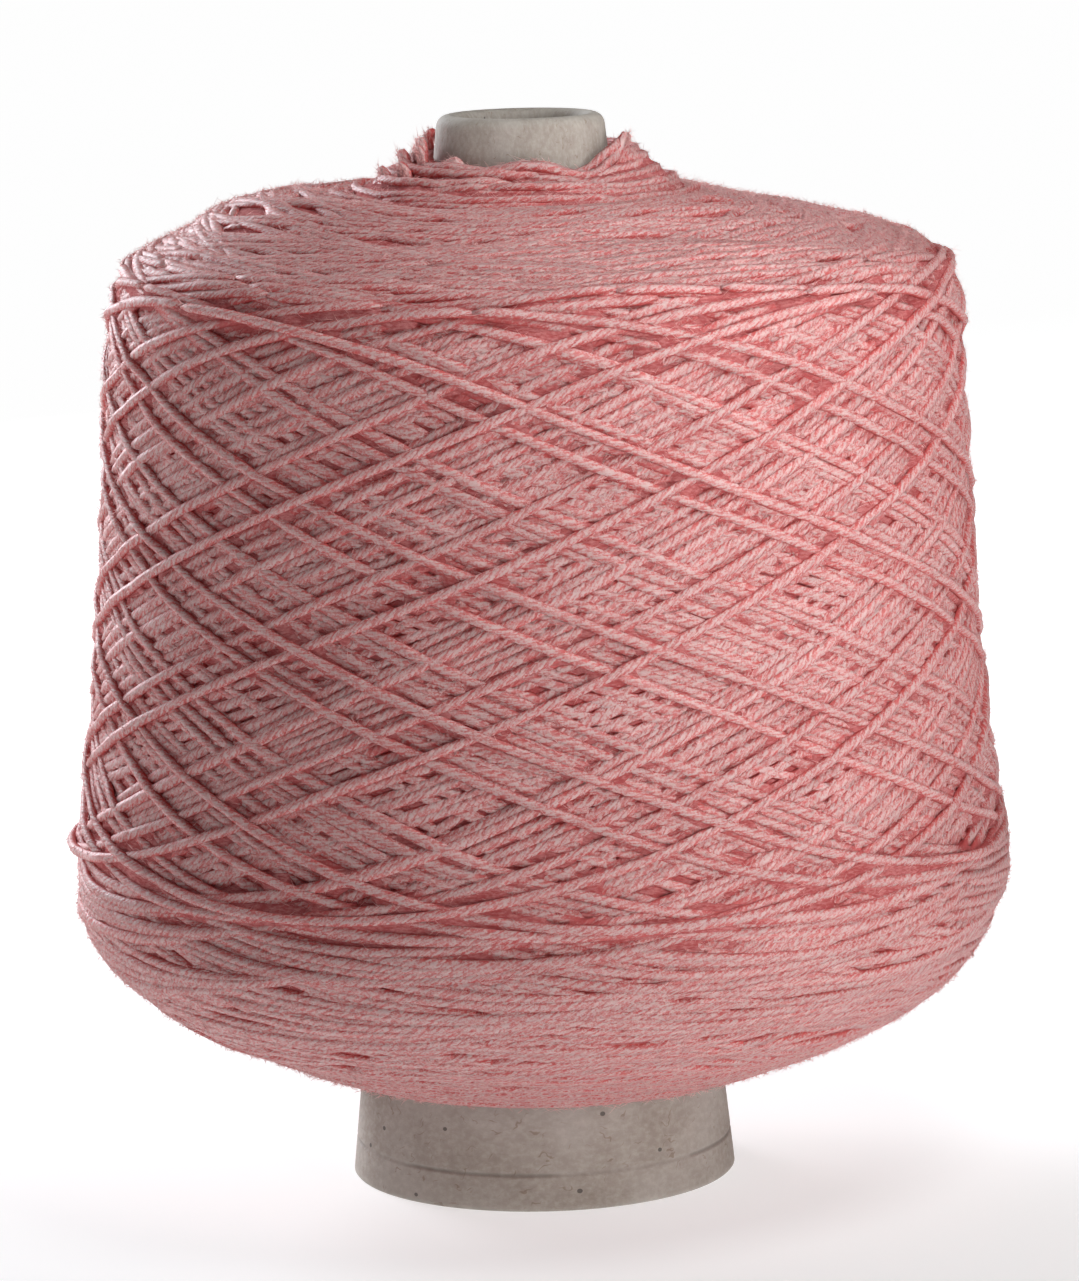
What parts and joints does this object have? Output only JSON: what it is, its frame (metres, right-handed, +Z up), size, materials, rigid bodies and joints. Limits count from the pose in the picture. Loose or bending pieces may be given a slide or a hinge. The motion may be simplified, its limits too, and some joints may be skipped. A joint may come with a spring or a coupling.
{
  "type": "cone of yarn",
  "caption": "Soft cross-wound yarn package on a hollow tapered paper cone with a rolled-in nose; stands on its wide end and slides onto a spindle.",
  "frame": {"origin": "centre of the cone's wide end, on the surface it stands on", "axes": "+Z up the cone's axis towards its nose, -Y towards the side seen in the picture, +X to that side's right"},
  "size_m": [0.1495, 0.1502, 0.17],
  "materials": {
    "grey_paper": "matt grey-beige wound chipboard with fine fibre flecks, a scored line near the wide end and a smooth rolled nose",
    "salmon_yarn": "soft two-ply yarn in salmon pink, brushed with short loose fibres"
  },
  "bodies": {
    "root": {"paper_cone": "grey_paper", "yarn_package": "salmon_yarn"}
  },
  "joints": []
}
